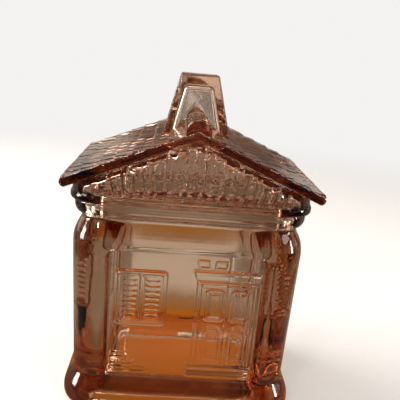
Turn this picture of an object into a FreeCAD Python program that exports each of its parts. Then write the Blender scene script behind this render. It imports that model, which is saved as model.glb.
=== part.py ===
import FreeCAD, Part
import math
import os
import re
import Sketcher

# A pressed-glass jar in the shape of a small house. The jar is the house's walls, the lift-off lid is
# its roof, and the hollow chimney on the lid is the knob. A soft ring round the lid's plug keeps the
# glass from rattling. +Z is up, the door is on the -Y side, and the origin is under the jar's middle.

vector = FreeCAD.Vector

# Driving dimensions, in millimetres. Heights are measured from the surface that the jar stands on.
sizes = {
    # jar walls
    "jarWidth": 116, "jarDepth": 81, "jarCorner": 15, "jarFoot": 6, "jarTop": 102.6, "shoulderRound": 6,
    # plinth that the jar stands on
    "plinthWidth": 124, "plinthDepth": 89, "plinthCorner": 19, "plinthTop": 18,
    "plinthTopRound": 7, "plinthFootRound": 4,
    # shallow hollow under the plinth, which leaves a ring to stand on
    "underWidth": 92, "underDepth": 58, "underCorner": 14, "underRise": 1.4,
    # neck, and the band round its top
    "neckWidth": 109, "neckDepth": 74, "neckCorner": 12, "neckFoot": 95, "rimTop": 113.3,
    "bandWidth": 116, "bandDepth": 81, "bandCorner": 14.5, "bandLow": 105.6,
    # inside of the jar
    "mouthWidth": 101, "mouthDepth": 66, "mouthCorner": 9, "mouthLow": 104,
    "cavityWidth": 98, "cavityDepth": 63, "cavityCorner": 22, "floorTop": 10,
    # recessed panels on the four walls
    "panelWidth": 76.8, "panelLow": 19, "panelHigh": 89, "panelSink": 3,
    "sidePanelWidth": 43, "sidePanelLow": 24, "sidePanelSink": 4.5,
    # shuttered window moulded on the front panel
    "windowLeft": -35.1, "windowRight": -9.3, "windowLow": 49, "windowHigh": 79.4,
    "windowBorder": 1.5, "shutterInset": 3, "shutterGap": 2.6, "louvrePitch": 3.1, "louvreTall": 1.7,
    # double door with its frame, cornice and two steps
    "doorLeft": 6, "doorRight": 38, "doorLow": 27.6, "doorHigh": 75.8, "architrave": 2,
    "leafInset": 4.2, "leafGap": 2.4, "leafLow": 31, "leafSplitLow": 47.5, "leafSplitHigh": 53.5,
    "leafHigh": 71,
    "corniceLeft": 3.9, "corniceRight": 38.2, "corniceLow": 76.4, "corniceHigh": 81.5,
    "stepLeft": 3.2, "stepRight": 37.5, "upperStepLow": 24.4, "upperStepHigh": 27.2,
    "lowerStepLow": 19.5, "lowerStepHigh": 22.9, "reliefRise": 1, "stepRise": 2.6,
    # loose bricks at the panel's lower left, and above the cornice
    "brickLeft": -37.4, "brickLow": 20.6, "brickLong": 9, "brickTall": 3.2, "brickJoint": 0.9,
    "upperBrickLeft": 6.2, "upperBrickLow": 82.4, "upperBrickLong": 6.8,
    # roof slab of the lid
    "roofWidth": 125, "roofDepth": 90, "eaveTop": 125.6, "eaveLow": 120.3, "roofPeak": 152.4,
    "slabPeak": 147.4, "courseButt": 0.8, "ridgeRadius": 6.2, "ridgeCentre": 150.8,
    # walls of the lid
    "lidWidth": 119.8, "lidDepth": 84.8, "lidCorner": 15, "lidLow": 113.3, "lidBandTop": 117.3,
    "gableEave": 122, "gablePeak": 149, "wallInset": 0.9, "hollowWidth": 104, "hollowDepth": 72,
    "hollowEave": 120, "hollowPeak": 143, "flangeThick": 3,
    # stepped planks on the two gable walls
    "plankPitch": 9.1, "plankWidth": 8.3, "plankLow": 117, "plankPeak": 142.5, "plankDrop": 4.3,
    "plankRise": 1.2,
    # plug under the lid, and the soft ring round it
    "plugWidth": 97, "plugDepth": 62, "plugCorner": 7, "plugWall": 3.2, "plugLow": 106.3,
    "sealLow": 107.8, "sealTall": 4, "sealThick": 1.7,
    # chimney, and the hollow inside it
    "stackTop": 175, "stackFoot": 140.5, "stackTopWidth": 19.4, "stackTopDepth": 14,
    "stackFootWidth": 36.3, "stackFootDepth": 26.4,
    "flueTop": 168.5, "flueFoot": 134, "flueTopWidth": 14.6, "flueTopDepth": 9.3,
    "flueFootWidth": 31.4, "flueFootDepth": 21.7,
    # coin slot across the ridge, behind the chimney
    "slotLength": 30, "slotWidth": 4.8, "slotBack": 28,
}
louvreCount = 8         # louvres in each shutter
brickRows = (2, 2, 1)   # bricks in each of the three rows at the lower left, from the bottom
courseCount = 7         # courses of shingles on each slope
plankSteps = 5          # planks on each side of the middle one

doc = FreeCAD.newDocument("houseJar")
sheet = doc.addObject("Spreadsheet::Sheet", "Sizes")
for row, (alias, value) in enumerate(sizes.items(), start=1):
    sheet.set("A%d" % row, alias)
    sheet.set("B%d" % row, str(value))
    sheet.setAlias("B%d" % row, alias)
doc.recompute()


def linked(formula):
    # Every word in a formula is an alias of the sheet.
    return re.sub(r"[A-Za-z]+", lambda found: "Sizes." + found.group(), formula)


def worth(formula):
    # The formula's value, which gives the solver its first outline.
    return float(sheet.evalExpression(formula))


def newSketch(body, name, role, offset):
    # A sketch on one of the body's own planes, moved along the plane's normal by the offset.
    plane = next(item for item in body.Origin.OriginFeatures if item.Role == role)
    sketch = body.newObject("Sketcher::SketchObject", name)
    sketch.AttachmentSupport = [(plane, "")]
    sketch.MapMode = "FlatFace"
    sketch.setExpression("AttachmentOffset.Base.z", linked(offset))
    return sketch


def pinPoint(sketch, geometry, end, across, up):
    # Holds a point at two formulas, measured from the sketch's origin.
    for kind, formula in (("DistanceX", across), ("DistanceY", up)):
        constraint = Sketcher.Constraint(kind, -1, 1, geometry, end, worth(formula))
        index = sketch.addConstraint(constraint)
        sketch.setExpression("Constraints[%d]" % index, linked(formula))


def drawPolygon(sketch, corners):
    # corners holds two formulas for each corner, in order round the outline.
    points = [vector(worth(across), worth(up), 0) for across, up in corners]
    first = sketch.GeometryCount
    count = len(points)
    for index in range(count):
        sketch.addGeometry(Part.LineSegment(points[index], points[(index + 1) % count]), False)
    for index in range(count):
        following = first + (index + 1) % count
        sketch.addConstraint(Sketcher.Constraint("Coincident", first + index, 2, following, 1))
        pinPoint(sketch, first + index, 1, *corners[index])


def drawBox(sketch, left, right, low, high):
    drawPolygon(sketch, [(left, low), (right, low), (right, high), (left, high)])


def drawRounded(sketch, width, depth, corner):
    # A rectangle about the sketch's origin with four equal round corners.
    halfWide = worth(width) / 2
    halfDeep = worth(depth) / 2
    radius = worth(corner)
    arcs = []
    for turn, (signX, signY) in enumerate(((1, 1), (-1, 1), (-1, -1), (1, -1))):
        centre = vector(signX * (halfWide - radius), signY * (halfDeep - radius), 0)
        circle = Part.Circle(centre, vector(0, 0, 1), radius)
        start = turn * math.pi / 2
        arc = sketch.addGeometry(Part.ArcOfCircle(circle, start, start + math.pi / 2), False)
        index = sketch.addConstraint(Sketcher.Constraint("Radius", arc, radius))
        sketch.setExpression("Constraints[%d]" % index, linked(corner))
        across = "%d * ((%s) / 2 - (%s))" % (signX, width, corner)
        up = "%d * ((%s) / 2 - (%s))" % (signY, depth, corner)
        pinPoint(sketch, arc, 3, across, up)
        arcs.append((arc, centre, start + math.pi / 2, radius))
    for index in range(4):
        arc, centre, angle, radius = arcs[index]
        nextArc, nextCentre = arcs[(index + 1) % 4][:2]
        outward = vector(math.cos(angle), math.sin(angle), 0) * radius
        side = sketch.addGeometry(Part.LineSegment(centre + outward, nextCentre + outward), False)
        sketch.addConstraint(Sketcher.Constraint("Tangent", arc, 2, side, 1))
        sketch.addConstraint(Sketcher.Constraint("Tangent", side, 2, nextArc, 1))


def grow(body, kind, name, sketch, length, flip=False, bothWays=False):
    # kind is Pad or Pocket. The length is a formula.
    feature = body.newObject("PartDesign::" + kind, name)
    feature.Profile = sketch
    feature.Type = "Length"
    feature.SideType = "Symmetric" if bothWays else "One side"
    feature.Reversed = flip
    feature.setExpression("Length", linked(length))
    sketch.Visibility = False
    body.Tip = feature
    return feature


def roundedBlock(body, name, width, depth, corner, low, high, kind="Pad"):
    sketch = newSketch(body, name + "Outline", "XY_Plane", low)
    drawRounded(sketch, width, depth, corner)
    return grow(body, kind, name, sketch, "(%s) - (%s)" % (high, low), flip=(kind == "Pocket"))


def roundEdges(body, name, base, radius, chosen):
    # Rounds the edges of the newest feature that the test picks.
    doc.recompute()
    names = ["Edge%d" % number for number, edge in enumerate(base.Shape.Edges, start=1) if chosen(edge)]
    if not names:
        raise ValueError("no edges for " + name)
    fillet = body.newObject("PartDesign::Fillet", name)
    fillet.Base = (base, names)
    fillet.setExpression("Radius", linked(radius))
    body.Tip = fillet
    return fillet


def levelAt(height):
    return lambda edge: abs(edge.BoundBox.ZMin - height) < 0.01 and abs(edge.BoundBox.ZMax - height) < 0.01


def buildJar():
    body = doc.addObject("PartDesign::Body", "jar_body")
    body.Label = "jar_body"
    plinth = roundedBlock(body, "Plinth", "plinthWidth", "plinthDepth", "plinthCorner", "0", "plinthTop")
    plinth = roundEdges(body, "PlinthTopRound", plinth, "plinthTopRound", levelAt(sizes["plinthTop"]))
    roundEdges(body, "PlinthFootRound", plinth, "plinthFootRound", levelAt(0))
    walls = roundedBlock(body, "Walls", "jarWidth", "jarDepth", "jarCorner", "jarFoot", "jarTop")
    roundEdges(body, "Shoulder", walls, "shoulderRound", levelAt(sizes["jarTop"]))
    roundedBlock(body, "Neck", "neckWidth", "neckDepth", "neckCorner", "neckFoot", "rimTop")
    roundedBlock(body, "Band", "bandWidth", "bandDepth", "bandCorner", "bandLow", "rimTop")
    addPanels(body)
    addWindow(body)
    addDoor(body)
    addBricks(body)
    roundedBlock(body, "Cavity", "cavityWidth", "cavityDepth", "cavityCorner", "floorTop", "rimTop", "Pocket")
    roundedBlock(body, "Mouth", "mouthWidth", "mouthDepth", "mouthCorner", "mouthLow", "rimTop", "Pocket")
    roundedBlock(body, "Underside", "underWidth", "underDepth", "underCorner", "0", "underRise", "Pocket")
    return body


def addPanels(body):
    # The panels lie below the faces of the walls, and the corners between them read as columns.
    for side, name in ((1, "FrontPanel"), (-1, "BackPanel")):
        face = "%d * (jarDepth / 2 - panelSink)" % side
        sketch = newSketch(body, name + "Outline", "XZ_Plane", face)
        drawBox(sketch, "-panelWidth / 2", "panelWidth / 2", "panelLow", "panelHigh")
        grow(body, "Pocket", name, sketch, "panelSink * 3", flip=(side > 0))
    for side, name in ((1, "RightPanel"), (-1, "LeftPanel")):
        face = "%d * (jarWidth / 2 - sidePanelSink)" % side
        sketch = newSketch(body, name + "Outline", "YZ_Plane", face)
        drawBox(sketch, "-sidePanelWidth / 2", "sidePanelWidth / 2", "sidePanelLow", "panelHigh")
        grow(body, "Pocket", name, sketch, "sidePanelSink * 3", flip=(side > 0))


def frontSketch(body, name):
    # A sketch on the front panel's face, sunk a little so that the relief fuses with the wall.
    return newSketch(body, name, "XZ_Plane", "jarDepth / 2 - panelSink - reliefRise")


def addWindow(body):
    frame = frontSketch(body, "WindowOutline")
    drawBox(frame, "windowLeft", "windowRight", "windowLow", "windowHigh")
    drawBox(frame, "windowLeft + windowBorder", "windowRight - windowBorder",
            "windowLow + windowBorder", "windowHigh - windowBorder")
    grow(body, "Pad", "WindowBorder", frame, "reliefRise * 2")
    louvres = frontSketch(body, "LouvreOutlines")
    middle = "(windowLeft + windowRight) / 2"
    for number in range(louvreCount):
        low = "windowLow + shutterInset + %d * louvrePitch + 0.8" % number
        high = low + " + louvreTall"
        drawBox(louvres, "windowLeft + shutterInset", middle + " - shutterGap / 2", low, high)
        drawBox(louvres, middle + " + shutterGap / 2", "windowRight - shutterInset", low, high)
    grow(body, "Pad", "Louvres", louvres, "reliefRise * 2")


def addBricks(body):
    bricks = frontSketch(body, "BrickOutlines")
    for line, count in enumerate(brickRows):
        low = "brickLow + %d * (brickTall + brickJoint)" % line
        for number in range(count):
            left = "brickLeft + %d * (brickLong + brickJoint)" % number
            drawBox(bricks, left, left + " + brickLong", low, low + " + brickTall")
    for number in range(2):
        left = "upperBrickLeft + %d * (upperBrickLong + brickJoint)" % number
        drawBox(bricks, left, left + " + upperBrickLong", "upperBrickLow", "upperBrickLow + brickTall")
    grow(body, "Pad", "Bricks", bricks, "reliefRise * 2")


def addDoor(body):
    frame = frontSketch(body, "DoorOutline")
    drawBox(frame, "doorLeft", "doorRight", "doorLow", "doorHigh")
    drawBox(frame, "doorLeft + architrave", "doorRight - architrave",
            "doorLow + architrave / 3", "doorHigh - architrave")
    middle = "(doorLeft + doorRight) / 2"
    for low, high in (("leafLow", "leafSplitLow"), ("leafSplitHigh", "leafHigh")):
        drawBox(frame, "doorLeft + leafInset", middle + " - leafGap / 2", low, high)
        drawBox(frame, middle + " + leafGap / 2", "doorRight - leafInset", low, high)
    drawBox(frame, "corniceLeft", "corniceRight", "corniceLow", "corniceHigh")
    grow(body, "Pad", "DoorRelief", frame, "reliefRise * 2")
    steps = frontSketch(body, "StepOutlines")
    drawBox(steps, "stepLeft", "stepRight", "lowerStepLow", "lowerStepHigh")
    drawBox(steps, "stepLeft", "stepRight", "upperStepLow", "upperStepHigh")
    grow(body, "Pad", "Steps", steps, "reliefRise + stepRise")


def roofOutline():
    # The slab's section. Each course of shingles ends in a small butt that stands proud of the next.
    corners = [("-roofWidth / 2", "eaveLow"), ("0", "slabPeak"), ("roofWidth / 2", "eaveLow")]
    for sign, order in ((1, range(courseCount)), (-1, reversed(range(courseCount)))):
        for course in order:
            outer = "%d * roofWidth / 2 * %d / %d" % (sign, courseCount - course, courseCount)
            inner = "%d * roofWidth / 2 * %d / %d" % (sign, courseCount - course - 1, courseCount)
            base = "eaveTop + (roofPeak - eaveTop) * %d / %d" % (course, courseCount)
            top = "eaveTop + (roofPeak - eaveTop) * %d / %d" % (course + 1, courseCount)
            if course:
                base = base + " + courseButt"
            butt = (outer, base)
            head = (inner, top)
            if sign > 0:
                corners += [butt, head]
            else:
                corners += [head, butt] if course < courseCount - 1 else [butt]
    return corners


def gableBlock(body, name, wide, foot, eave, peak, depth, kind="Pad"):
    sketch = newSketch(body, name + "Outline", "XZ_Plane", "0")
    half = "(%s) / 2" % wide
    corners = [("-" + half, foot), (half, foot), (half, eave), ("0", peak), ("-" + half, eave)]
    drawPolygon(sketch, corners)
    return grow(body, kind, name, sketch, depth, bothWays=True)


def taperedBlock(body, kind, name, foot, top):
    # foot and top each hold the width, depth and height of one end.
    outlines = []
    for place, (wide, deep, height) in (("Foot", foot), ("Top", top)):
        sketch = newSketch(body, name + place, "XY_Plane", height)
        drawBox(sketch, "-%s / 2" % wide, "%s / 2" % wide, "-%s / 2" % deep, "%s / 2" % deep)
        outlines.append(sketch)
    loft = body.newObject("PartDesign::" + kind, name)
    loft.Profile = outlines[0]
    loft.Sections = [outlines[1]]
    loft.Ruled = True
    body.Tip = loft
    return loft


def buildLid():
    body = doc.addObject("PartDesign::Body", "roof_lid")
    body.Label = "roof_lid"
    slab = newSketch(body, "SlabOutline", "XZ_Plane", "0")
    drawPolygon(slab, roofOutline())
    grow(body, "Pad", "Slab", slab, "roofDepth", bothWays=True)
    ridge = newSketch(body, "RidgeOutline", "XZ_Plane", "0")
    circle = ridge.addGeometry(Part.Circle(vector(0, worth("ridgeCentre"), 0), vector(0, 0, 1), 1), False)
    radius = ridge.addConstraint(Sketcher.Constraint("Radius", circle, worth("ridgeRadius")))
    ridge.setExpression("Constraints[%d]" % radius, linked("ridgeRadius"))
    pinPoint(ridge, circle, 3, "0", "ridgeCentre")
    grow(body, "Pad", "Ridge", ridge, "roofDepth", bothWays=True)
    gableBlock(body, "Walls", "lidWidth", "lidLow + 1", "gableEave", "gablePeak", "lidDepth - 2 * wallInset")
    roundedBlock(body, "Band", "lidWidth", "lidDepth", "lidCorner", "lidLow", "lidBandTop")
    addPlanks(body)
    taperedBlock(body, "AdditiveLoft", "Stack", ("stackFootWidth", "stackFootDepth", "stackFoot"),
                 ("stackTopWidth", "stackTopDepth", "stackTop"))
    roundedBlock(body, "Plug", "plugWidth", "plugDepth", "plugCorner", "plugLow", "lidLow")
    gableBlock(body, "Hollow", "hollowWidth", "lidLow + flangeThick", "hollowEave", "hollowPeak",
               "hollowDepth", "Pocket")
    taperedBlock(body, "SubtractiveLoft", "Flue", ("flueFootWidth", "flueFootDepth", "flueFoot"),
                 ("flueTopWidth", "flueTopDepth", "flueTop"))
    bore = newSketch(body, "PlugBoreOutline", "XY_Plane", "plugLow")
    drawRounded(bore, "plugWidth - 2 * plugWall", "plugDepth - 2 * plugWall", "plugCorner - plugWall")
    grow(body, "Pocket", "PlugBore", bore, "lidLow + 2 * flangeThick - plugLow", flip=True)
    slot = newSketch(body, "SlotOutline", "XY_Plane", "hollowEave")
    drawBox(slot, "-slotLength / 2", "slotLength / 2", "slotBack - slotWidth / 2", "slotBack + slotWidth / 2")
    grow(body, "Pocket", "CoinSlot", slot, "stackTop - hollowEave", flip=True)
    return body


def addPlanks(body):
    # Planks stand on the band and step down from the middle. The same ones are on both gables.
    for side, name in ((1, "FrontPlanks"), (-1, "BackPlanks")):
        sketch = newSketch(body, name + "Outline", "XZ_Plane", "%d * (lidDepth / 2 - wallInset - 1)" % side)
        for step in range(-plankSteps, plankSteps + 1):
            left = "%d * plankPitch - plankWidth / 2" % step
            high = "plankPeak - %d * plankDrop" % abs(step)
            drawBox(sketch, left, left + " + plankWidth", "plankLow", high)
        grow(body, "Pad", name, sketch, "plankRise + 1", flip=(side < 0))


def buildSeal():
    body = doc.addObject("PartDesign::Body", "lid_seal")
    body.Label = "lid_seal"
    sketch = newSketch(body, "RingOutline", "XY_Plane", "sealLow")
    drawRounded(sketch, "plugWidth", "plugDepth", "plugCorner")
    drawRounded(sketch, "plugWidth + 2 * sealThick", "plugDepth + 2 * sealThick", "plugCorner + sealThick")
    grow(body, "Pad", "Ring", sketch, "sealTall")
    return body


def checked(body):
    # Stops the build if any object failed, or the body isn't one sound solid.
    for item in [body] + list(body.Group):
        if "Invalid" in item.State or "Error" in item.State:
            raise RuntimeError("%s: %s" % (item.Name, item.State))
    shape = body.Shape
    if shape.isNull() or not shape.isValid() or len(shape.Solids) != 1:
        raise RuntimeError("%s isn't one sound solid: %d" % (body.Label, len(shape.Solids)))
    return shape


bodies = [buildJar(), buildLid(), buildSeal()]
doc.recompute()
os.makedirs("parts", exist_ok=True)
for body in bodies:
    shape = checked(body)
    box = shape.BoundBox
    print("%-10s volume %8.0f mm3, %s" % (body.Label, shape.Volume, box))
    shape.exportStep("parts/" + body.Label + ".step")
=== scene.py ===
import math
import bmesh
import bpy
from mathutils import Matrix, Vector


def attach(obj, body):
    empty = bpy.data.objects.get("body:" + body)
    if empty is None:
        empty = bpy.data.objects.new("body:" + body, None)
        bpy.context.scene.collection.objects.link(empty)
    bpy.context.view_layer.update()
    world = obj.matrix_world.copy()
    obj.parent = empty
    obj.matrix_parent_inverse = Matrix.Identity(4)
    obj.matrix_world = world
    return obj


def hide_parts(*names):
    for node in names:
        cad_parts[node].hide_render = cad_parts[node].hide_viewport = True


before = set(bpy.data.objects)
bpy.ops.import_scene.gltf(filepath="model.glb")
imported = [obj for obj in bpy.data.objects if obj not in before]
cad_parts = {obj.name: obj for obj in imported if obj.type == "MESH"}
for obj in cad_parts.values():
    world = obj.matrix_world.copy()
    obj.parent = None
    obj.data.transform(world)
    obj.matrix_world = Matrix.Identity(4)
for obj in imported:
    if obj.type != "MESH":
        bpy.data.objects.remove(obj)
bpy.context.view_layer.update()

mm = 0.001

# A pressed-glass jar shaped like a small house. Every size below is in millimetres, in the frame's
# axes: the door looks along -Y, +Z is up, and the origin is under the jar's middle.


class Rule:    # a number that a node tree works out at every point
    def __init__(self, tree, socket):
        self.tree = tree
        self.socket = socket

    def worked(self, operation, *others):
        node = self.tree.nodes.new("ShaderNodeMath")
        node.operation = operation
        for place, other in enumerate((self,) + others):
            if isinstance(other, Rule):
                self.tree.links.new(other.socket, node.inputs[place])
            else:
                node.inputs[place].default_value = other
        return Rule(self.tree, node.outputs[0])

    def __add__(self, other):
        return self.worked("ADD", other)

    def __sub__(self, other):
        return self.worked("SUBTRACT", other)

    def __mul__(self, other):
        return self.worked("MULTIPLY", other)

    def __truediv__(self, other):
        return self.worked("DIVIDE", other)

    def __pow__(self, other):
        return self.worked("POWER", other)

    def __neg__(self):
        return self * -1

    def __abs__(self):
        return self.worked("ABSOLUTE")

    def __rsub__(self, other):
        return self * -1 + other

    __radd__ = __add__
    __rmul__ = __mul__

    def most(self, other):
        return self.worked("MAXIMUM", other)

    def least(self, other):
        return self.worked("MINIMUM", other)

    def over(self, other):
        return self.worked("GREATER_THAN", other)

    def ramp(self, start, end, first=0.0, last=1.0):    # an S-shaped change from first to last
        node = self.tree.nodes.new("ShaderNodeMapRange")
        node.interpolation_type = "SMOOTHSTEP"
        for place, other in enumerate((self, start, end, first, last)):
            if isinstance(other, Rule):
                self.tree.links.new(other.socket, node.inputs[place])
            else:
                node.inputs[place].default_value = other
        return Rule(self.tree, node.outputs[0])


def boxGap(x, z, left, right, low, high, corner):
    # distance outside a box with round corners, and less than 0 inside it
    across = abs(x - (left + right) * 0.5) - ((right - left) * 0.5 - corner)
    up = abs(z - (low + high) * 0.5) - ((high - low) * 0.5 - corner)
    outside = (across.most(0) ** 2 + up.most(0) ** 2) ** 0.5
    return outside + across.most(up).least(0) - corner


def strokeGap(x, z, foot, tip, thick):
    # distance outside a straight stroke with round ends
    dx, dz = tip[0] - foot[0], tip[1] - foot[1]
    along = ((x - foot[0]) * dx + (z - foot[1]) * dz) * (1 / (dx * dx + dz * dz))
    along = along.most(0).least(1)
    gone = (x - foot[0] - along * dx) ** 2 + (z - foot[1] - along * dz) ** 2
    return gone ** 0.5 - thick / 2


def raised(gap, rise, soft=0.6):    # stands rise high inside the gap's edge, with soft shoulders
    return gap.ramp(-soft / 2, soft / 2, rise, 0)


def outlined(gap, wide, rise, soft=0.6):    # a raised line just inside the gap's edge
    return raised(abs(gap + wide / 2) - wide / 2, rise, soft)


def newTree(name, sizes):
    # an empty tree with its sizes as named inputs, and where each point is, in millimetres
    tree = bpy.data.node_groups.new(name, "GeometryNodeTree")
    tree.interface.new_socket("Geometry", in_out="INPUT", socket_type="NodeSocketGeometry")
    tree.interface.new_socket("Geometry", in_out="OUTPUT", socket_type="NodeSocketGeometry")
    for key, value in sizes.items():
        socket = tree.interface.new_socket(key, in_out="INPUT", socket_type="NodeSocketFloat")
        socket.default_value = value
    start = tree.nodes.new("NodeGroupInput")
    given = {key: Rule(tree, start.outputs[key]) for key in sizes}
    where = tree.nodes.new("GeometryNodeInputPosition")
    split = tree.nodes.new("ShaderNodeSeparateXYZ")
    tree.links.new(where.outputs[0], split.inputs[0])
    x, y, z = [Rule(tree, split.outputs[i]) * (1 / mm) for i in range(3)]
    return tree, start, given, x, y, z


def endTree(tree, start, moves, finish):
    # moves each point by the three Rules, in millimetres, then gives the result its glass
    join = tree.nodes.new("ShaderNodeCombineXYZ")
    for place, move in enumerate(moves):
        if move is not None:
            tree.links.new((move * mm).socket, join.inputs[place])
    shift = tree.nodes.new("GeometryNodeSetPosition")
    real = tree.nodes.new("GeometryNodeRealizeInstances")
    paint = tree.nodes.new("GeometryNodeSetMaterial")
    paint.inputs["Material"].default_value = finish
    out = tree.nodes.new("NodeGroupOutput")
    tree.links.new(start.outputs["Geometry"], shift.inputs["Geometry"])
    tree.links.new(join.outputs[0], shift.inputs["Offset"])
    tree.links.new(shift.outputs[0], real.inputs[0])
    tree.links.new(real.outputs[0], paint.inputs["Geometry"])
    tree.links.new(paint.outputs[0], out.inputs[0])
    return tree


def pressedWith(piece, tree, sizes):
    # runs the tree on the piece, with its inputs set by identifier, and keeps the plain mesh
    modifier = piece.modifiers.new("press", "NODES")
    modifier.node_group = tree
    for item in tree.interface.items_tree:
        if item.item_type == "SOCKET" and item.in_out == "INPUT" and item.name in sizes:
            modifier[item.identifier] = float(sizes[item.name])
    return settled(piece)


def settled(piece):
    bpy.context.view_layer.update()
    graph = bpy.context.evaluated_depsgraph_get()
    mesh = bpy.data.meshes.new_from_object(piece.evaluated_get(graph), depsgraph=graph)
    piece.modifiers.clear()
    mesh.name = piece.name
    piece.data = mesh
    return piece


def newPiece(name, points, faces):
    mesh = bpy.data.meshes.new(name)
    mesh.from_pydata([(x * mm, y * mm, z * mm) for x, y, z in points], [], faces)
    mesh.update()
    piece = bpy.data.objects.new(name, mesh)
    bpy.context.scene.collection.objects.link(piece)
    return piece


def smoothed(piece, sharpest=None):
    piece.data.shade_smooth()
    if sharpest:
        piece.data.set_sharp_from_angle(angle=math.radians(sharpest))
    return piece


def planColumns(front, side, back, corner):
    # walks once round a plan with round corners, from the front's left end: which core corner or
    # edge point each column hangs from, and the way out from it
    columns = [(-1 + 2 * i / front, -1, -90) for i in range(front)]
    columns += [(1, -1, -90 + 90 * i / corner) for i in range(corner)]
    columns += [(1, -1 + 2 * i / side, 0) for i in range(side)]
    columns += [(1, 1, 90 * i / corner) for i in range(corner)]
    columns += [(1 - 2 * i / back, 1, 90) for i in range(back)]
    columns += [(-1, 1, 90 + 90 * i / corner) for i in range(corner)]
    columns += [(-1, 1 - 2 * i / side, 180) for i in range(side)]
    columns += [(-1, -1, 180 + 90 * i / corner) for i in range(corner)]
    return [(cx, cy, math.cos(math.radians(a)), math.sin(math.radians(a))) for cx, cy, a in columns]


def ringStack(columns, rings):
    # rings go from the first cap to the last: each is (half width, half depth, corner, height)
    points = []
    for wide, deep, corner, height in rings:
        for cx, cy, outX, outY in columns:
            points.append((cx * (wide - corner) + outX * corner,
                           cy * (deep - corner) + outY * corner, height))
    count = len(columns)
    faces = []
    for row in range(len(rings) - 1):
        for i in range(count):
            j = (i + 1) % count
            faces.append((row * count + i, row * count + j,
                          (row + 1) * count + j, (row + 1) * count + i))
    faces.append(tuple(reversed(range(count))))
    faces.append(tuple(range((len(rings) - 1) * count, len(rings) * count)))
    return points, faces


def between(pairs, at):    # straight-line reading of a list of (place, value)
    for (a, first), (b, last) in zip(pairs, pairs[1:]):
        if at <= b:
            return first + (last - first) * (at - a) / (b - a)
    return pairs[-1][1]


def spread(low, high, step):
    count = max(1, round((high - low) / step))
    return [low + (high - low) * i / count for i in range(count)]


def joined(piece, others, operation):
    # one clean closed solid: the piece with others welded on, or cut out of it
    for other in others:
        cut = piece.modifiers.new("weld", "BOOLEAN")
        cut.operation = operation
        cut.solver = "MANIFOLD"
        cut.object = other
    settled(piece)
    for other in others:
        bpy.data.objects.remove(other)
    return piece


def roundEdges(bm, radius, segments):
    bmesh.ops.bevel(bm, geom=list(bm.edges), offset=radius * mm, segments=segments, profile=0.5,
                    affect="EDGES")


def roundedHull(name, foot, top, radius, segments, middle=(0, 0)):
    # a four-sided block whose foot and top are (width, depth, height), with every edge rounded
    bm = bmesh.new()
    corners = []
    for wide, deep, height in (foot, top):
        for sx, sy in ((-1, -1), (1, -1), (1, 1), (-1, 1)):
            place = (middle[0] + sx * wide / 2, middle[1] + sy * deep / 2, height)
            corners.append(bm.verts.new([v * mm for v in place]))
    for face in ((3, 2, 1, 0), (4, 5, 6, 7), (0, 1, 5, 4), (1, 2, 6, 5), (2, 3, 7, 6), (3, 0, 4, 7)):
        bm.faces.new([corners[i] for i in face])
    roundEdges(bm, radius, segments)
    return bmeshPiece(name, bm)


def bmeshPiece(name, bm):
    bmesh.ops.recalc_face_normals(bm, faces=bm.faces)
    mesh = bpy.data.meshes.new(name)
    bm.to_mesh(mesh)
    bm.free()
    piece = bpy.data.objects.new(name, mesh)
    bpy.context.scene.collection.objects.link(piece)
    return piece


def prism(name, outline, front, back, radius=0, segments=3):
    # an (x, z) outline drawn out from front to back
    bm = bmesh.new()
    near = [bm.verts.new((x * mm, front * mm, z * mm)) for x, z in outline]
    far = [bm.verts.new((x * mm, back * mm, z * mm)) for x, z in outline]
    bm.faces.new(near)
    bm.faces.new(list(reversed(far)))
    for i in range(len(outline)):
        j = (i + 1) % len(outline)
        bm.faces.new((near[i], far[i], far[j], near[j]))
    if radius:
        roundEdges(bm, radius, segments)
    return bmeshPiece(name, bm)


# noise scales, bump depths in metres, and how rough the worn and the clean glass are
glassSkin = {
    "waveScale": 95, "waveDeep": 0.0012, "grainScale": 900, "grainDeep": 0.0002, "wearScale": 140,
    "wearFrom": (0.45, 0.75), "wearRough": (0.015, 0.07), "footFrom": (0.0015, 0.0019), "bend": 1.51,
}
glassTones = {
    "jar": {"passed": (0.79, 0.57, 0.37), "density": 64, "wave": 0.12, "stipple": 0.015, "footRough": 0.12},
    "lid": {"passed": (0.78, 0.55, 0.38), "density": 98, "wave": 0.15, "stipple": 0.10, "footRough": 0},
}


def setRange(node, source, result):    # a Map Range node's two ranges
    node.inputs["From Min"].default_value, node.inputs["From Max"].default_value = source
    node.inputs["To Min"].default_value, node.inputs["To Max"].default_value = result


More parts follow.
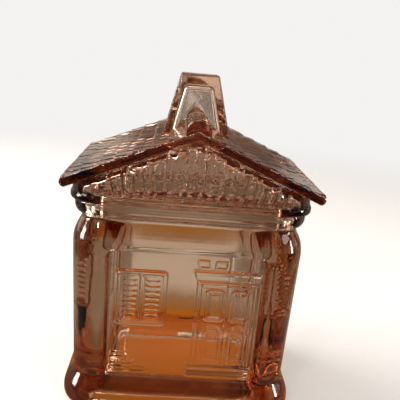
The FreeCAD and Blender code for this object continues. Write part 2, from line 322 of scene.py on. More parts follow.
def pressedGlass(name, tone):
    # clear tinted glass with the slow waves and the fine grain that a cast-iron mould leaves
    material = bpy.data.materials.new(name)
    material.use_nodes = True
    nodes, links = material.node_tree.nodes, material.node_tree.links
    glass = nodes["Principled BSDF"]
    glass.inputs["Base Color"].default_value = (1, 0.985, 0.97, 1)
    glass.inputs["Transmission Weight"].default_value = 1
    glass.inputs["IOR"].default_value = glassSkin["bend"]
    where = nodes.new("ShaderNodeTexCoord")
    waves = nodes.new("ShaderNodeTexNoise")
    waves.inputs["Scale"].default_value = glassSkin["waveScale"]
    waves.inputs["Detail"].default_value = 1.5
    grain = nodes.new("ShaderNodeTexNoise")
    grain.inputs["Scale"].default_value = glassSkin["grainScale"]
    grain.inputs["Detail"].default_value = 3
    wear = nodes.new("ShaderNodeTexNoise")
    wear.inputs["Scale"].default_value = glassSkin["wearScale"]
    wear.inputs["Detail"].default_value = 5
    for noise in (waves, grain, wear):
        links.new(where.outputs["Object"], noise.inputs["Vector"])
    slow = nodes.new("ShaderNodeBump")
    slow.inputs["Strength"].default_value = tone["wave"]
    slow.inputs["Distance"].default_value = glassSkin["waveDeep"]
    links.new(waves.outputs["Fac"], slow.inputs["Height"])
    fine = nodes.new("ShaderNodeBump")
    fine.inputs["Strength"].default_value = tone["stipple"]
    fine.inputs["Distance"].default_value = glassSkin["grainDeep"]
    links.new(grain.outputs["Fac"], fine.inputs["Height"])
    links.new(slow.outputs[0], fine.inputs["Normal"])
    links.new(fine.outputs[0], glass.inputs["Normal"])
    rub = nodes.new("ShaderNodeMapRange")
    setRange(rub, glassSkin["wearFrom"], glassSkin["wearRough"])
    links.new(wear.outputs["Fac"], rub.inputs["Value"])
    # the surface that the jar stands on is stippled
    split = nodes.new("ShaderNodeSeparateXYZ")
    links.new(where.outputs["Object"], split.inputs[0])
    foot = nodes.new("ShaderNodeMapRange")
    setRange(foot, glassSkin["footFrom"], (tone["footRough"], 0))
    links.new(split.outputs["Z"], foot.inputs["Value"])
    both = nodes.new("ShaderNodeMath")
    both.operation = "MAXIMUM"
    links.new(rub.outputs[0], both.inputs[0])
    links.new(foot.outputs[0], both.inputs[1])
    links.new(both.outputs[0], glass.inputs["Roughness"])
    depth = nodes.new("ShaderNodeVolumeAbsorption")
    depth.inputs["Color"].default_value = tone["passed"] + (1,)
    depth.inputs["Density"].default_value = tone["density"]
    links.new(depth.outputs[0], nodes["Material Output"].inputs["Volume"])
    return material


sealFinish = {"tint": (0.93, 0.91, 0.88), "bend": 1.41, "skinScale": 700, "skinDeep": 0.0002,
              "rough": (0.22, 0.42)}


def softSeal(name):
    # clear soft rubber, a little cloudy, with a matt skin
    material = bpy.data.materials.new(name)
    material.use_nodes = True
    nodes, links = material.node_tree.nodes, material.node_tree.links
    rubber = nodes["Principled BSDF"]
    rubber.inputs["Base Color"].default_value = sealFinish["tint"] + (1,)
    rubber.inputs["Transmission Weight"].default_value = 0.9
    rubber.inputs["IOR"].default_value = sealFinish["bend"]
    where = nodes.new("ShaderNodeTexCoord")
    skin = nodes.new("ShaderNodeTexNoise")
    skin.inputs["Scale"].default_value = sealFinish["skinScale"]
    skin.inputs["Detail"].default_value = 4
    links.new(where.outputs["Object"], skin.inputs["Vector"])
    bump = nodes.new("ShaderNodeBump")
    bump.inputs["Strength"].default_value = 0.2
    bump.inputs["Distance"].default_value = sealFinish["skinDeep"]
    links.new(skin.outputs["Fac"], bump.inputs["Height"])
    links.new(bump.outputs[0], rubber.inputs["Normal"])
    cloud = nodes.new("ShaderNodeMapRange")
    setRange(cloud, (0, 1), sealFinish["rough"])
    links.new(skin.outputs["Fac"], cloud.inputs["Value"])
    links.new(cloud.outputs[0], rubber.inputs["Roughness"])
    return material


jarGlass = pressedGlass("jarGlass", glassTones["jar"])
lidGlass = pressedGlass("lidGlass", glassTones["lid"])
sealRubber = softSeal("sealRubber")
print("finishes mixed")


jarShape = {
    # half depth is this much under half width; the corners' centres stay this far from the middle
    "depthLess": 17.5, "coreHalf": 43,
    # (height, half width) up the outside, from the foot to the rim
    "outside": [
        (0, 57.2), (0.5, 59.1), (1.4, 60.6), (2.6, 61.5), (4.2, 61.95), (6, 62), (8, 61.8), (10, 61.3),
        (12, 60.5), (14, 59.4), (16, 58.2), (17.2, 57.5), (18, 57.1), (19, 57), (40, 57.5), (70, 58.2),
        (88, 58.6), (91, 58.6), (94, 58.3), (96.5, 57.7), (98.5, 56.9), (100.5, 55.9), (102.2, 54.9),
        (103.4, 54.3), (104.2, 54.2), (104.9, 54.6), (105.5, 55.5), (106.3, 56.6), (107.4, 57.4),
        (108.8, 57.9), (110.2, 58), (112.2, 58), (112.9, 57.8), (113.2, 57.4),
    ],
    "fineLow": 18.6, "fineHigh": 91, "fineStep": 0.46, "coarseStep": 0.9,
    # (height, half width, half depth, corner) down the inside, from the rim to the floor
    "inside": [
        (113.3, 56.8, 39.3, 13.4), (113.3, 51.6, 34.1, 9.8), (113.1, 50.9, 33.4, 9.2), (112.5, 50.5, 33, 9),
        (108, 50.5, 33, 9), (104.6, 50.5, 33, 9), (103.4, 50, 32.5, 13), (101.5, 49.3, 31.8, 18),
        (99, 49, 31.5, 21.5), (80, 49, 31.5, 22), (60, 49, 31.5, 22), (40, 49, 31.5, 22), (22, 49, 31.5, 22),
        (16, 48.7, 31.2, 22), (13.5, 48, 30.5, 21.6), (11.8, 46.6, 29.1, 20.4), (10.6, 44.4, 26.9, 18.6),
        (10.1, 41.5, 24, 16), (10, 38, 20.5, 13),
    ],
    # (height, inset from the foot ring) of the shallow hollow under the plinth
    "under": [(1.4, 16), (1.35, 12.4), (1.0, 11.2), (0.4, 10.4), (0, 9.6), (0, 1.6)],
    "frontColumns": 184, "sideColumns": 56, "backColumns": 36, "cornerColumns": 14,
}

# the moulded picture on the front wall
frontSizes = {
    "panelHalf": 38.4, "panelLow": 19.2, "panelHigh": 89.6, "panelSink": 3.2, "columnRound": 5.2,
    "backSink": 2.2,
    "sideHalf": 21.5, "sideLow": 24, "sideSink": 4.5,
    "windowLeft": -35.1, "windowWide": 25.8, "windowLow": 49, "windowHigh": 79.4, "windowRise": 1.15,
    "louvrePitch": 3.0, "louvreSink": 0.95,
    "doorLeft": 6, "doorRight": 38, "doorLow": 27.6, "doorHigh": 75.8, "doorRise": 1.3,
    "stepLeft": 3.2, "stepRight": 37.5, "stepRise": 2.6,
    "touchLeft": -34, "touchRight": 0, "footLift": 0.25,
}


def louvres(x, z, left, right, low, count, pitch, sink):
    # slanted oval slots one over another, deepest at their upper edge
    up = ((z - low) / pitch).worked("FRACT")
    oval = (abs(x - (left + right) / 2) / ((right - left) / 2)) ** 2.6 + (abs(up - 0.5) * 2.15) ** 2
    inRow = (z - low).over(0) * (pitch * count - (z - low)).over(0)
    return oval.ramp(0.55, 1.1, 1, 0) * (up * 0.8 + 0.35) * sink * inRow


def windowPicture(at, x, z, left):
    # a frame round two louvred shutters, from its left edge
    right = left + at["windowWide"]
    out = outlined(boxGap(x, z, left, right, at["windowLow"], at["windowHigh"], 2.2), 1.3, at["windowRise"])
    for start in (1.9, 13.5):
        shutter = boxGap(x, z, left + start, left + start + 10.3, 50.6, 77.8, 1.6)
        out = out.most(outlined(shutter, 0.9, 0.8) + raised(shutter + 0.5, 0.35))
        slotLeft = left + start + 1.7
        out = out - louvres(x, z, slotLeft, slotLeft + 6.9, 52.3, 8, at["louvrePitch"], at["louvreSink"])
    return out


def frontPicture(at, x, z):
    # how far each point of the front panel stands out
    out = windowPicture(at, x, z, at["windowLeft"])
    # door frame: two nested lines, then the leaves
    frameGap = boxGap(x, z, at["doorLeft"], at["doorRight"], at["doorLow"] - 6, at["doorHigh"], 0.6)
    above = (z - at["doorLow"]).ramp(-0.4, 0.4)
    door = outlined(frameGap, 1.1, at["doorRise"]).most(outlined(frameGap + 2.1, 1.0, 0.95))
    door = door.most(outlined(frameGap + 3.6, 0.7, 0.6))
    door = door.most(raised(abs(x - 22) - 0.5, 1.0))
    for left, right in ((10.8, 20.2), (23.8, 33.2)):
        upper = boxGap(x, z, left, right, 53.4, 71.2, 1.8)
        door = door.most(outlined(upper, 0.9, 1.2) + raised(upper + 2.1, 0.8, 1.4))
        lower = boxGap(x, z, left, right, 30.6, 47, 0.9)
        door = door.most(outlined(lower, 0.9, 1.2) + raised(lower + 2.1, 0.6, 1.4))
        middle = (left + right) / 2
        fan = ((x - middle) ** 2 + ((z - 47.3) * 1.25) ** 2) ** 0.5 - 4
        door = door.most(outlined(fan, 0.9, 1.1) * (z - 47).over(0))
    out = out.most(door * above)
    # cornice, wider at its top
    lean = (z - 76.4) * 0.35
    cornice = boxGap(x, z, at["doorLeft"] - 0.6 - lean, at["doorRight"] - 1.4 + lean, 76.5, 81.6, 0.6)
    out = out.most(raised(cornice, 0.9) + raised(cornice + 0.2, 1, 0.8) * z.ramp(79, 81))
    # two fanned bricks over the cornice
    for left, right, slant in ((6.4, 12.6, -0.3), (14, 20.4, 0.12)):
        brick = boxGap(x - (z - 82.4) * slant, z, left, right, 82.5, 86.9, 0.5)
        out = out.most(outlined(brick, 0.7, 0.8))
    # loose bricks at the lower left
    for left, right, low in ((-37.2, -28.2, 28.8), (-37.2, -32.2, 24.7), (-31.2, -24, 24.7),
                             (-37.2, -27.8, 20.6), (-27.2, -17.9, 20.6)):
        out = out.most(outlined(boxGap(x, z, left, right, low, low + 3.3, 1.4), 0.9, 1.2))
    # blades of grass
    for foot, tip in (((-13.2, 20), (-15.6, 25.4)), ((-12.8, 20), (-12, 26)), ((-12.4, 20), (-10.4, 24.6)),
                      ((-3.6, 20), (-5, 25)), ((-3.3, 20), (-2.6, 25.6))):
        out = out.most(raised(strokeGap(x, z, foot, tip, 0.7), 1.1, 0.6))
    # two rounded steps below the door
    for low, high, rise in ((24.3, 27.3, 0.75), (19.4, 23.2, 1.0)):
        bar = boxGap(x, z, at["stepLeft"], at["stepRight"], low, high, 1.2)
        out = out.most(raised(bar + 0.5, at["stepRise"] * rise, 2.2))
    return out


def wallTree():
    tree, start, at, x, y, z = newTree("wallRelief", frontSizes)
    panel = boxGap(x, z, -at["panelHalf"], at["panelHalf"], at["panelLow"], at["panelHigh"], 2.5)
    turn = (1 - panel / at["columnRound"]).most(0).least(1)
    sunk = 1 - (1 - turn * turn + 0.0001) ** 0.5
    front = (-y).over(34.5)
    picture = frontPicture(at, x, z) * panel.over(0.0).worked("MULTIPLY_ADD", -1, 1)
    back = y.over(34.5)
    inY = front * (sunk * at["panelSink"] - picture) - back * panel.ramp(-2, 6, 1, 0) * at["backSink"]
    sidePanel = boxGap(y, z, -at["sideHalf"], at["sideHalf"], at["sideLow"], at["panelHigh"], 3)
    sideTurn = (1 - sidePanel / at["columnRound"]).most(0).least(1)
    side = abs(x).over(52.5) * (1 - (1 - sideTurn * sideTurn + 0.0001) ** 0.5) * at["sideSink"]
    shutters = abs(x).over(52.5) * windowPicture(at, y, z, -12.9)
    inX = (side - shutters) * x.worked("SIGN") * -1
    # the foot is uneven, so that it touches the table along a part of its length only
    clear = x.ramp(at["touchLeft"] - 6, at["touchLeft"], 1, 0)
    clear = clear.most(x.ramp(at["touchRight"], at["touchRight"] + 6))
    inZ = z.ramp(0.3, 3, 1, 0) * clear * at["footLift"]
    return endTree(tree, start, (inX, inY, inZ), jarGlass)


def buildJar():
    shape = jarShape
    heights = []
    last = shape["outside"][-1][0]
    for low, high, step in ((0, shape["fineLow"], shape["coarseStep"]),
                            (shape["fineLow"], shape["fineHigh"], shape["fineStep"]),
                            (shape["fineHigh"], last, 0.62)):
        heights += spread(low, high, step)
    heights.append(last)
    rings = []
    foot = shape["outside"][0][1]
    for height, inset in shape["under"]:
        wide = foot - inset
        rings.append((wide, wide - shape["depthLess"], max(wide - shape["coreHalf"], 3), height))
    for height in heights:
        wide = between(shape["outside"], height)
        rings.append((wide, wide - shape["depthLess"], wide - shape["coreHalf"], height))
    for height, wide, deep, corner in shape["inside"]:
        rings.append((wide, deep, corner, height))
    columns = planColumns(shape["frontColumns"], shape["sideColumns"], shape["backColumns"],
                          shape["cornerColumns"])
    jar = newPiece("jarWalls", *ringStack(columns, rings))
    pressedWith(jar, wallTree(), frontSizes)
    smoothed(jar)
    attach(jar, "jar")
    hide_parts("jar_body")
    return jar


jar = buildJar()
print("jar pressed:", len(jar.data.polygons), "faces")


roofShape = {
    "half": 62.5, "front": 45, "eaveTop": 125.2, "eaveLow": 120.2, "eaveRound": 2.4,
    "topPeak": 151.9, "underPeak": 147.4,
    "courses": 7, "perCourse": 10, "butt": 1.4, "joint": 0.85, "tooth": 0.22, "step": 0.62,
    "ridge": 6.2, "ridgeCentre": 150.6, "ridgeTiles": 9, "lap": 0.55, "ridgeFaces": 40,
    # share of a shingle's lift that goes out sideways and up, and how unevenly the shingles lie
    "liftOut": 0.38, "liftUp": 0.92, "uneven": 0.3,
}
lidShape = {
    "wide": 59.9, "deep": 42.4, "corner": 15, "low": 113.3, "bandTop": 117.3, "inset": 0.9,
    "plankPitch": 9.1, "plankTop": 144.4, "plankDrop": 4.25, "plankRise": 2.5, "plankLow": 117.6,
    "grain": 0.09, "peak": 152, "step": 0.55,
    # columns round the walls, and round the plug: front, side, back, corner
    "wallColumns": (200, 24, 200, 12), "plugColumns": (24, 16, 24, 8),
    # (half width, half depth, corner, height) up the plug, and up the bore inside it
    "plug": [(47.6, 30.1, 6.2, 106.3), (48.2, 30.7, 6.7, 106.5), (48.5, 31, 7, 107), (48.5, 31, 7, 115)],
    "bore": [(45.3, 27.8, 4, 100), (45.3, 27.8, 4, 119)],
    # (x, z) round the hollow under the roof, and how far it reaches to the front and the back
    "hollow": [(-52, 116.3), (52, 116.3), (52, 120), (0, 143), (-52, 120)], "hollowReach": 36,
    # (width, depth, height) of the foot and the top of each upright block
    "stack": ((36.3, 26.4, 140.5), (19.4, 14, 175)), "stackRound": 1.1,
    "flue": ((31.4, 21.7, 134), (14.6, 9.3, 168.5)), "flueRound": 2.4,
    "coinSlit": ((30, 4.8, 135), (30, 4.8, 165)), "slitPlace": (0, 28),
}


def middleOf(x):    # height halfway through the roof's thickness
    shape = roofShape
    t = 1 - abs(x) / shape["half"]
    rise, fall = shape["topPeak"] - shape["eaveTop"], shape["underPeak"] - shape["eaveLow"]
    return t * (rise + fall) / 2 + (shape["eaveTop"] + shape["eaveLow"]) / 2


def roofSlab():
    # a closed sheet: the shingled top, the round eaves and the plain underside
    shape = roofShape
    half, front = shape["half"], shape["front"]
    count = 2 * round(half / shape["step"])
    flat = half - shape["eaveRound"]
    across = [-flat + 2 * flat * i / count for i in range(count + 1)]
    top, under = [], []
    for x in across:
        t = 1 - abs(x) / half
        top.append((x, shape["eaveTop"] + (shape["topPeak"] - shape["eaveTop"]) * t))
        under.append((x, shape["eaveLow"] + (shape["underPeak"] - shape["eaveLow"]) * t))
    loop = list(reversed(top))                       # right to left over the top, then back under
    eave = []
    middle = (top[0][1] + under[0][1]) / 2
    thick = (top[0][1] - under[0][1]) / 2
    for angle in range(75, -76, -15):
        turned = math.radians(angle)
        eave.append((flat + shape["eaveRound"] * math.cos(turned), middle + thick * math.sin(turned)))
    loop += [(-x, z) for x, z in eave] + under + list(reversed(eave))
    count = len(loop)
    rows = [(-front + 0.0, 0.9), (-front + 0.25, 0.35), (-front + 0.9, 0)]
    rows += [(y, 0) for y in spread(-front + 1.5, front - 1.5, shape["step"] * 1.05)]
    rows += [(front - 0.9, 0), (front - 0.25, 0.35), (front, 0.9)]
    points = []
    for y, inset in rows:
        for k, (x, z) in enumerate(loop):
            points.append((x * (1 - inset / half), y, z + (inset if middleOf(x) > z else -inset)))
    faces = []
    for row in range(len(rows) - 1):
        for i in range(count):
            j = (i + 1) % count
            faces.append((row * count + i, (row + 1) * count + i,
                          (row + 1) * count + j, row * count + j))
    # each verge is closed by a ladder of faces from the top's edge to the underside's
    n, bend = len(top), len(eave)
    ladder = [(i, (2 * n + bend - 1 - i) % count) for i in range(-(bend // 2) - 1, n + bend // 2 + 1)]
    for base, flip in ((0, False), ((len(rows) - 1) * count, True)):
        for (a, d), (b, c) in zip(ladder, ladder[1:]):
            a, b, c, d = [base + k % count for k in (a, b, c, d)]
            face = [k for place, k in enumerate((a, b, c, d)) if k not in (a, b, c, d)[:place]]
            faces.append(tuple(reversed(face)) if flip else tuple(face))
    return newPiece("roofSlab", points, faces)


def shingleTree():
    shape = roofShape
    names = ("half", "courses", "perCourse", "butt", "joint", "front", "tooth")
    sizes = {key: float(shape[key]) for key in names}
    tree, start, at, x, y, z = newTree("shingles", sizes)
    t = 1 - abs(x) / at["half"]
    rise, fall = shape["topPeak"] - shape["eaveTop"], shape["underPeak"] - shape["eaveLow"]
    middle = t * ((rise + fall) / 2) + (shape["eaveTop"] + shape["eaveLow"]) / 2
    upper = (z - middle).over(0.6)
    course = t * at["courses"] * 1.1
    number = course.worked("FLOOR")
    up = course - number
    wedge = (1 - up) * at["butt"] * up.ramp(0, 0.09)
    shift = number.worked("FLOORED_MODULO", 2) * 0.5
    side = x.over(0) * 0.25
    run = (y / at["front"] * 0.5 + 0.5) * at["perCourse"] + shift + side
    tile = run.worked("FLOOR")
    within = run - tile
    # each shingle lies a little differently
    scatter = ((tile * 12.99 + number * 78.23 + x.over(0) * 37.7).worked("SINE") * 43758.5).worked("FRACT")
    edge = abs(within - 0.5)
    joint = edge.ramp(0.435, 0.5) * at["joint"]
    tilt = (scatter - 0.5) * shape["uneven"] * (1 - edge.ramp(0.4, 0.5))
    lift = wedge - at["butt"] * 0.5 - joint + tilt
    inside = (at["front"] - abs(y)).ramp(0.6, 1.6)
    tooth = (x * (math.pi / (shape["step"] * 0.98))).worked("COSINE") * at["tooth"]
    lift = (lift * inside + tooth * (1 - inside)) * upper
    moves = (lift * shape["liftOut"] * x.worked("SIGN"), None, lift * shape["liftUp"])
    return endTree(tree, start, moves, lidGlass), sizes


def ridgeRoll():
    # half-round ridge tiles, each lapping over the one behind it
    shape = roofShape
    points, faces, rows = [], [], []
    around = shape["ridgeFaces"]
    length = 2 * (shape["front"] - 0.4) / shape["ridgeTiles"]
    for tile in range(shape["ridgeTiles"]):
        begin = -shape["front"] + 0.4 + tile * length
        for share, swell in ((0, 0.1), (0.05, 0.8), (0.16, 1.0), (0.6, 0.55), (0.97, 0.1)):
            rows.append((begin + share * length, shape["ridge"] - 0.5 + shape["lap"] * swell))
    rows.append((shape["front"] - 0.4, shape["ridge"] - 0.5))
    for y, radius in rows:
        for i in range(around):
            angle = 2 * math.pi * i / around
            points.append((radius * math.cos(angle), y, shape["ridgeCentre"] + radius * math.sin(angle)))
    for row in range(len(rows) - 1):
        for i in range(around):
            j = (i + 1) % around
            faces.append((row * around + i, (row + 1) * around + i,
                          (row + 1) * around + j, row * around + j))
    faces.append(tuple(range(around)))
    faces.append(tuple(reversed(range((len(rows) - 1) * around, len(rows) * around))))
    return newPiece("ridgeRoll", points, faces)


def plankTree():
    names = ("plankPitch", "plankTop", "plankDrop", "plankRise", "plankLow", "grain")
    sizes = {key: float(lidShape[key]) for key in names}
    tree, start, at, x, y, z = newTree("planks", sizes)
    number = (x / at["plankPitch"]).worked("ROUND")
    within = x - number * at["plankPitch"]
    half = at["plankPitch"] * 0.5
    share = abs(within) / half
    flute = (1 - (abs(share - 0.48) / 0.52) ** 2) ** 0.5
    scatter = ((within / at["plankPitch"] * 5).worked("FLOOR") * 7.3 + number * 3.1).worked("SINE")
    top = at["plankTop"] - abs(number) * at["plankDrop"] + scatter * 1.1
    body = (top - z).ramp(-0.3, 0.6) * (z - at["plankLow"]).ramp(-0.5, 0.5)
    side = (46.5 - abs(x)).ramp(0, 1.5)
    noise = tree.nodes.new("ShaderNodeTexNoise")
    noise.inputs["Scale"].default_value = 620
    noise.inputs["Detail"].default_value = 2
    rough = (Rule(tree, noise.outputs[0]) - 0.5) * 2
    lift = body * side * (at["plankRise"] * (flute.most(0) * 0.8 + 0.2) + rough * at["grain"] * 2)
    # a thin bead follows the roof's underside
    eaves = (1 - abs(x) / roofShape["half"]) * (roofShape["underPeak"] - roofShape["eaveLow"])
    bead = raised(abs(z - eaves - roofShape["eaveLow"] + 1.5) - 0.6, 0.9, 0.7)
    lift = lift.most(bead)
    face = abs(y).over(38.5) * (46.6 - abs(x)).over(0)
    return endTree(tree, start, (None, lift * face * y.worked("SIGN"), None), lidGlass), sizes


def lidWalls():
    shape = lidShape
    wide, deep, corner = shape["wide"], shape["deep"], shape["corner"]
    rings = []
    low, top = shape["low"], shape["bandTop"]
    for height, inset in ((low, 1.0), (low + 0.25, 0.45), (low + 0.8, 0.1), (low + 1.5, 0),
                          (top - 1.2, 0), (top - 0.5, 0.15), (top, shape["inset"])):
        rings.append((wide - inset, deep - inset, corner - inset, height))
    inset = shape["inset"]
    for height in spread(shape["bandTop"] + 0.5, shape["peak"], shape["step"]) + [shape["peak"]]:
        rings.append((wide - inset, deep - inset, corner - inset, height))
    columns = planColumns(*shape["wallColumns"])
    walls = newPiece("gableWalls", *ringStack(columns, rings))
    tree, sizes = plankTree()
    pressedWith(walls, tree, sizes)
    roof = roofShape
    eave, peak = (roof["eaveTop"] + roof["eaveLow"]) / 2, (roof["topPeak"] + roof["underPeak"]) / 2
    # everything above the middle of the roof's thickness is cut off
    past, low, reach = 70, 100, 60
    side = peak - (peak - eave) / roof["half"] * past
    outline = [(-past, low), (past, low), (past, side), (0, peak), (-past, side)]
    under = prism("gableCut", outline, -reach, reach)
    return joined(walls, [under], "INTERSECT")


def buildLid():
    slab = roofSlab()
    tree, sizes = shingleTree()
    pressedWith(slab, tree, sizes)
    walls = lidWalls()
    ridge = ridgeRoll()
    shape = lidShape
    columns = planColumns(*shape["plugColumns"])
    plug = newPiece("plugOutside", *ringStack(columns, shape["plug"]))
    stack = roundedHull("stack", *shape["stack"], shape["stackRound"], 4)
    hollow = prism("hollow", shape["hollow"], -shape["hollowReach"], shape["hollowReach"], 1.6, 4)
    bore = newPiece("bore", *ringStack(columns, shape["bore"]))
    flue = roundedHull("flue", *shape["flue"], shape["flueRound"], 5)
    slit = roundedHull("slit", *shape["coinSlit"], 1.0, 3, shape["slitPlace"])
    joined(slab, [ridge, walls, plug, stack], "UNION")
    joined(slab, [hollow, bore, flue, slit], "DIFFERENCE")
    slab.name = "roofLid"
    slab.data.name = "roofLid"
    slab.data.materials.clear()
    slab.data.materials.append(lidGlass)
    smoothed(slab, 42)
    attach(slab, "lid")
    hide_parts("roof_lid")
    return slab


lid = buildLid()
print("lid pressed:", len(lid.data.polygons), "faces")


sealShape = {"wide": 48.58, "deep": 31.08, "corner": 7.08, "low": 107.8, "tall": 4, "lips": 3, "thick": 1.55}


def buildSeal():
    # a swept ring: a flat back and three soft lips
    shape = sealShape
    profile = [(0, 0), (0, shape["tall"])]
    for lip in range(shape["lips"]):
        top = shape["tall"] - lip * shape["tall"] / shape["lips"]
        pitch = shape["tall"] / shape["lips"]
        for share, reach in ((0.05, 0.55), (0.25, 0.92), (0.5, 1.0), (0.75, 0.9), (0.95, 0.55)):
            profile.append((shape["thick"] * reach, top - share * pitch))
    columns = planColumns(40, 24, 40, 10)
    points, faces = [], []
    for out, height in profile:
        for cx, cy, outX, outY in columns:
            reach = shape["corner"] + out
            points.append((cx * (shape["wide"] - shape["corner"]) + outX * reach,
                           cy * (shape["deep"] - shape["corner"]) + outY * reach, shape["low"] + height))
    count, rows = len(columns), len(profile)
    for row in range(rows):
        for i in range(count):
            j = (i + 1) % count
            up = (row + 1) % rows
            faces.append((row * count + j, row * count + i, up * count + i, up * count + j))
    seal = newPiece("sealRing", points, faces)
    seal.data.materials.append(sealRubber)
    smoothed(seal, 50)
    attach(seal, "lid")
    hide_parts("lid_seal")
    return seal


seal = buildSeal()
print("seal moulded")


stageLook = {
    "paper": (0.84, 0.82, 0.80), "backdrop": (0.90, 0.89, 0.88), "fade": (0.35, 0.9),
    # painted light: the glow that glass and gloss see in place of the table, a warm pool of painted light
    # cast through the glass, by distance in metres from a spot behind the jar's middle
    "paintedPoolGlow": [(0, (0.60, 0.15, 0.0)), (0.05, (0.48, 0.14, 0.0)), (0.066, (0.36, 0.15, 0.03)),
              (0.084, (0.36, 0.21, 0.11)), (0.11, (0.60, 0.50, 0.40)), (0.8, (0.72, 0.66, 0.59))],
    "spot": (0, 0.02, 0),
    # painted reflections of the room on the glow: patch scale, and from how far out they show
    "roomPatch": 11, "patchFrom": (0.15, 0.3),
    # painted shade on that glow: (start, end, strength at the end) darker to the sides, and (start, end,
    # strength at the start) darker in front
    "sideGlow": (0.05, 0.09, 0.55),
    "frontDim": (-0.16, 0.03, 0.22),
    "paperRough": 0.75, "half": 4000, "touch": 0.03,    # the paper just meets the glass of the foot
}


roomContrast = {"noise": (0.42, 0.56), "light": (0.2, 1.35)}


def roomPatches(nodes, links, vector, scale):
    # soft dark and light areas, as furniture and windows make them
    noise = nodes.new("ShaderNodeTexNoise")
    noise.inputs["Scale"].default_value = scale
    noise.inputs["Detail"].default_value = 1.5
    links.new(vector, noise.inputs["Vector"])
    contrast = nodes.new("ShaderNodeMapRange")
    contrast.interpolation_type = "SMOOTHSTEP"
    setRange(contrast, roomContrast["noise"], roomContrast["light"])
    links.new(noise.outputs["Fac"], contrast.inputs["Value"])
    return contrast.outputs[0]


def sideGlow(nodes, links, across, sizes):
    # the light changes to the left and right
    reach = nodes.new("ShaderNodeMath")
    reach.operation = "ABSOLUTE"
    links.new(across, reach.inputs[0])
    glow = nodes.new("ShaderNodeMapRange")
    glow.interpolation_type = "SMOOTHSTEP"
    start, end, last = sizes
    setRange(glow, (start, end), (1, last))
    links.new(reach.outputs[0], glow.inputs["Value"])
    return glow.outputs[0]


def buildStage():
    # pale paper that fades into a pale backdrop; every ray but the camera's sees a painted glow there
    # instead, a warm pool of painted light round the jar, as light cast through the amber glass makes it
    half, level = stageLook["half"], stageLook["touch"]
    corners = [(-half, -half, level), (half, -half, level), (half, half, level), (-half, half, level)]
    floor = newPiece("stageFloor", corners, [(0, 1, 2, 3)])
    material = bpy.data.materials.new("paperAndPaintedGlow")
    material.use_nodes = True
    nodes, links = material.node_tree.nodes, material.node_tree.links
    paper = nodes["Principled BSDF"]
    paper.inputs["Roughness"].default_value = stageLook["paperRough"]
    paper.inputs["Base Color"].default_value = stageLook["paper"] + (1,)
    where = nodes.new("ShaderNodeTexCoord")
    reach = nodes.new("ShaderNodeVectorMath")
    reach.operation = "LENGTH"
    shifted = nodes.new("ShaderNodeVectorMath")
    shifted.operation = "SUBTRACT"
    links.new(where.outputs["Object"], shifted.inputs[0])
    shifted.inputs[1].default_value = stageLook["spot"]
    links.new(shifted.outputs["Vector"], reach.inputs[0])
    fade = nodes.new("ShaderNodeMapRange")
    fade.interpolation_type = "SMOOTHSTEP"
    setRange(fade, stageLook["fade"], (0, 1))
    links.new(reach.outputs["Value"], fade.inputs["Value"])
    backdrop = nodes.new("ShaderNodeEmission")
    backdrop.inputs["Color"].default_value = stageLook["backdrop"] + (1,)
    seen = nodes.new("ShaderNodeMixShader")
    links.new(fade.outputs[0], seen.inputs[0])
    links.new(paper.outputs[0], seen.inputs[1])
    links.new(backdrop.outputs[0], seen.inputs[2])
    # painted light: the warm pool of light round the jar, as light cast through the amber glass makes it
    tones = nodes.new("ShaderNodeValToRGB")
    links.new(reach.outputs["Value"], tones.inputs[0])
    marks = tones.color_ramp.elements
    for place, (distance, tone) in enumerate(stageLook["paintedPoolGlow"]):
        mark = marks[place] if place < 2 else marks.new(distance)
        mark.position, mark.color = distance, tone + (1,)
    paintedPoolGlow = nodes.new("ShaderNodeEmission")
    links.new(tones.outputs["Color"], paintedPoolGlow.inputs["Color"])
    split = nodes.new("ShaderNodeSeparateXYZ")
    links.new(where.outputs["Object"], split.inputs[0])
    # painted shade: the glow is darker in front of the jar
    dim = nodes.new("ShaderNodeMapRange")
    dim.interpolation_type = "SMOOTHSTEP"
    start, end, least = stageLook["frontDim"]
    setRange(dim, (start, end), (least, 1))
    links.new(split.outputs["Y"], dim.inputs["Value"])
    # further out, painted reflections of the room's dark and light patches show on the glow
    patch = roomPatches(nodes, links, where.outputs["Object"], stageLook["roomPatch"])
    outward = nodes.new("ShaderNodeMapRange")
    setRange(outward, stageLook["patchFrom"], (0, 1))
    links.new(reach.outputs["Value"], outward.inputs["Value"])
    share = nodes.new("ShaderNodeMix")
    share.inputs["A"].default_value = 1
    links.new(outward.outputs[0], share.inputs["Factor"])
    links.new(patch, share.inputs["B"])
    strength = nodes.new("ShaderNodeMath")
    strength.operation = "MULTIPLY"
    links.new(dim.outputs[0], strength.inputs[0])
    links.new(share.outputs["Result"], strength.inputs[1])
    # painted shade: the glow is darker to the sides
    glow = sideGlow(nodes, links, split.outputs["X"], stageLook["sideGlow"])
    brighter = nodes.new("ShaderNodeMath")
    brighter.operation = "MULTIPLY"
    links.new(strength.outputs[0], brighter.inputs[0])
    links.new(glow, brighter.inputs[1])
    links.new(brighter.outputs[0], paintedPoolGlow.inputs["Strength"])
    # the camera sees the paper; every other ray sees the painted glow
    path = nodes.new("ShaderNodeLightPath")
    pick = nodes.new("ShaderNodeMixShader")
    links.new(path.outputs["Is Camera Ray"], pick.inputs[0])
    links.new(paintedPoolGlow.outputs[0], pick.inputs[1])
    links.new(seen.outputs[0], pick.inputs[2])
    links.new(pick.outputs[0], nodes["Material Output"].inputs["Surface"])
    floor.data.materials.append(material)


def addLamp(name, place, aim, size, power, colour):
    lamp = bpy.data.lights.new(name, "AREA")
    lamp.shape = "RECTANGLE"
    lamp.size, lamp.size_y = size
    lamp.energy = power
    lamp.color = colour
    holder = bpy.data.objects.new(name, lamp)
    bpy.context.scene.collection.objects.link(holder)
    holder.location = place
    holder.visible_camera = False
    holder.rotation_euler = (Vector(aim) - Vector(place)).to_track_quat("-Z", "Y").to_euler()


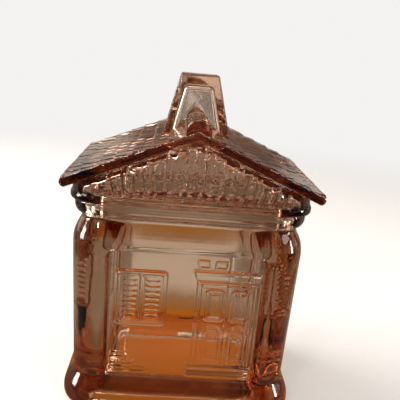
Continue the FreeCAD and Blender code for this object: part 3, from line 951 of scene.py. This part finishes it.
studioLook = {
    "roomPatch": 3.2,
    "sideGlow": (0.5, 0.85, 2.2),
    "backdrop": (0.90, 0.89, 0.88),
    # light by the sine of the height above the horizon
    "sky": [(-1, (0.60, 0.52, 0.45)), (0.0, (0.66, 0.60, 0.54)), (0.12, (0.54, 0.46, 0.39)),
            (0.3, (0.42, 0.32, 0.24)), (0.62, (0.34, 0.21, 0.10)), (0.76, (0.95, 0.93, 0.92)),
            (1, (0.9, 0.9, 0.9))],
    "frontDim": (-0.65, 0.0, 0.3),
    # name, place, what it points at, size, power, colour
    "lamps": [
        ("windowLight", (-0.9, 0.25, 0.8), (0, 0, 0.06), (0.9, 0.7), 14, (1, 0.98, 0.95)),
        ("glintLight", (-0.45, -0.8, 0.75), (0, 0, 0.08), (0.12, 0.12), 1.6, (1, 0.93, 0.82)),
        ("fillLight", (0.8, -0.5, 0.8), (0, 0, 0.06), (0.6, 0.6), 5, (0.95, 0.98, 1)),
        ("leftEdgeLight", (-0.7, -0.12, 0.12), (0, 0, 0.05), (0.2, 0.4), 5, (1, 0.95, 0.9)),
        ("rightEdgeLight", (0.7, -0.2, 0.14), (0, 0, 0.05), (0.1, 0.4), 2.5, (1, 0.95, 0.9)),
    ],
}


def buildLight():
    world = bpy.data.worlds.new("studio")
    bpy.context.scene.world = world
    world.use_nodes = True
    nodes, links = world.node_tree.nodes, world.node_tree.links
    where = nodes.new("ShaderNodeTexCoord")
    split = nodes.new("ShaderNodeSeparateXYZ")
    links.new(where.outputs["Generated"], split.inputs[0])
    height = nodes.new("ShaderNodeMapRange")
    height.inputs["From Min"].default_value = -1
    links.new(split.outputs["Z"], height.inputs["Value"])
    tones = nodes.new("ShaderNodeValToRGB")
    links.new(height.outputs[0], tones.inputs[0])
    marks = tones.color_ramp.elements
    for place, (sine, tone) in enumerate(studioLook["sky"]):
        mark = marks[place] if place < 2 else marks.new(sine / 2 + 0.5)
        mark.position, mark.color = sine / 2 + 0.5, tone + (1,)
    # the side towards the door is the dark side of the room
    dim = nodes.new("ShaderNodeMapRange")
    start, end, least = studioLook["frontDim"]
    setRange(dim, (start, end), (least, 1))
    links.new(split.outputs["Y"], dim.inputs["Value"])
    sky = nodes["Background"]
    links.new(tones.outputs["Color"], sky.inputs["Color"])
    strength = nodes.new("ShaderNodeMath")
    strength.operation = "MULTIPLY"
    links.new(dim.outputs[0], strength.inputs[0])
    patch = roomPatches(nodes, links, where.outputs["Generated"], studioLook["roomPatch"])
    links.new(patch, strength.inputs[1])
    brighter = nodes.new("ShaderNodeMath")
    brighter.operation = "MULTIPLY"
    links.new(strength.outputs[0], brighter.inputs[0])
    links.new(sideGlow(nodes, links, split.outputs["X"], studioLook["sideGlow"]), brighter.inputs[1])
    links.new(brighter.outputs[0], sky.inputs["Strength"])
    behind = nodes.new("ShaderNodeBackground")
    behind.inputs["Color"].default_value = studioLook["backdrop"] + (1,)
    path = nodes.new("ShaderNodeLightPath")
    pick = nodes.new("ShaderNodeMixShader")
    links.new(path.outputs["Is Camera Ray"], pick.inputs[0])
    links.new(sky.outputs[0], pick.inputs[1])
    links.new(behind.outputs[0], pick.inputs[2])
    links.new(pick.outputs[0], nodes["World Output"].inputs["Surface"])
    for lamp in studioLook["lamps"]:
        addLamp(*lamp)


cameraSetup = {"place": (-0.0107, -0.277, 0.1872), "down": 16.13, "roll": 5.08, "turn": 3.36, "lens": 46.84}


def buildCamera():
    down, roll, turn = [math.radians(cameraSetup[key]) for key in ("down", "roll", "turn")]
    ahead = Vector((math.sin(turn) * math.cos(down), math.cos(turn) * math.cos(down), -math.sin(down)))
    right = Vector((math.cos(turn), -math.sin(turn), 0))
    up = right.cross(ahead)
    tiltedRight = math.cos(roll) * right + math.sin(roll) * up
    tiltedUp = -math.sin(roll) * right + math.cos(roll) * up
    data = bpy.data.cameras.new("camera")
    data.lens, data.sensor_width, data.clip_start = cameraSetup["lens"], 36, 0.01
    camera = bpy.data.objects.new("camera", data)
    bpy.context.scene.collection.objects.link(camera)
    turned = Matrix((tiltedRight, tiltedUp, -ahead)).transposed().to_4x4()
    camera.matrix_world = Matrix.Translation(cameraSetup["place"]) @ turned
    bpy.context.scene.camera = camera


buildStage()
buildLight()
buildCamera()
scene = bpy.context.scene
scene.view_settings.view_transform = "Standard"
scene.cycles.max_bounces = 28
scene.cycles.transmission_bounces = 24
scene.cycles.glossy_bounces = 8
scene.cycles.sample_clamp_indirect = 6
print("stage, light and camera set")
